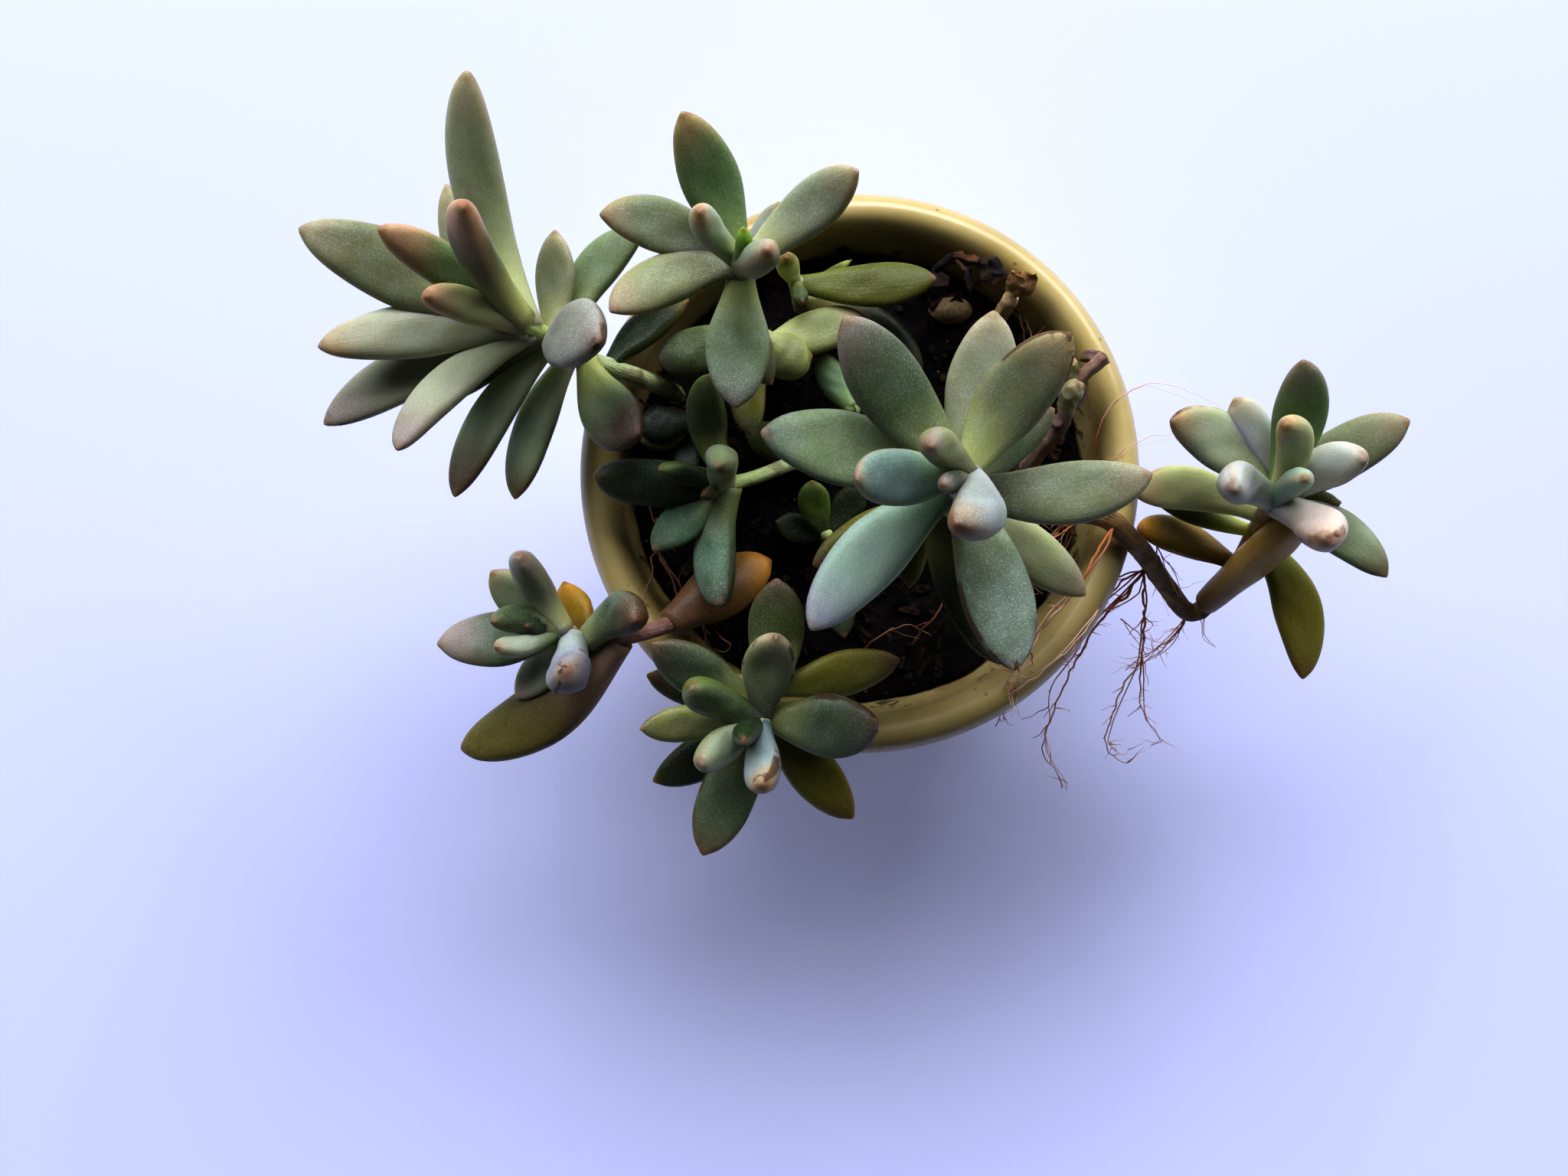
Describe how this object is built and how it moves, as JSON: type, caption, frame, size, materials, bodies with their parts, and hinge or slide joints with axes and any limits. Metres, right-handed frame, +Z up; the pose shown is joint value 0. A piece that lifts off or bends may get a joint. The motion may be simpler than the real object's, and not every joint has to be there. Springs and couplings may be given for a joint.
{
  "type": "potted succulent",
  "caption": "Trailing rosette succulent in a round tapered pot with a rolled lip, its leafy stems leaning out over the rim.",
  "frame": {"origin": "middle of the pot's flat underside, on the pot's axis", "axes": "+Z up along the pot's axis; -Y towards the lowest front rosette; +X towards the rosette that hangs out with bare roots"},
  "size_m": [0.2012, 0.135, 0.164],
  "materials": {
    "pot": "satin",
    "soil": "matte",
    "pebble": "matte",
    "grey_green_leaf": "satin",
    "deep_green_leaf": "satin",
    "bright_leaf": "satin",
    "olive_leaf": "satin",
    "dry_stalk": "matte",
    "dry_leaf": "matte",
    "dry_stub": "matte"
  },
  "bodies": {
    "root": {"pot": "pot", "soil": "soil", "pebble": "pebble", "shoot_centre": "grey_green_leaf", "shoot_back": "grey_green_leaf", "shoot_upper_left": "grey_green_leaf", "shoot_right": "grey_green_leaf", "shoot_lower_left": "grey_green_leaf", "shoot_front": "grey_green_leaf", "shoot_small_left": "deep_green_leaf", "sprout_left": "deep_green_leaf", "sprout_middle": "deep_green_leaf", "sprout_bright": "bright_leaf", "shoot_low_back": "olive_leaf", "dried_flower_stalk": "dry_stalk", "dried_leaf": "dry_leaf", "dried_stub": "dry_stub"}
  },
  "joints": []
}
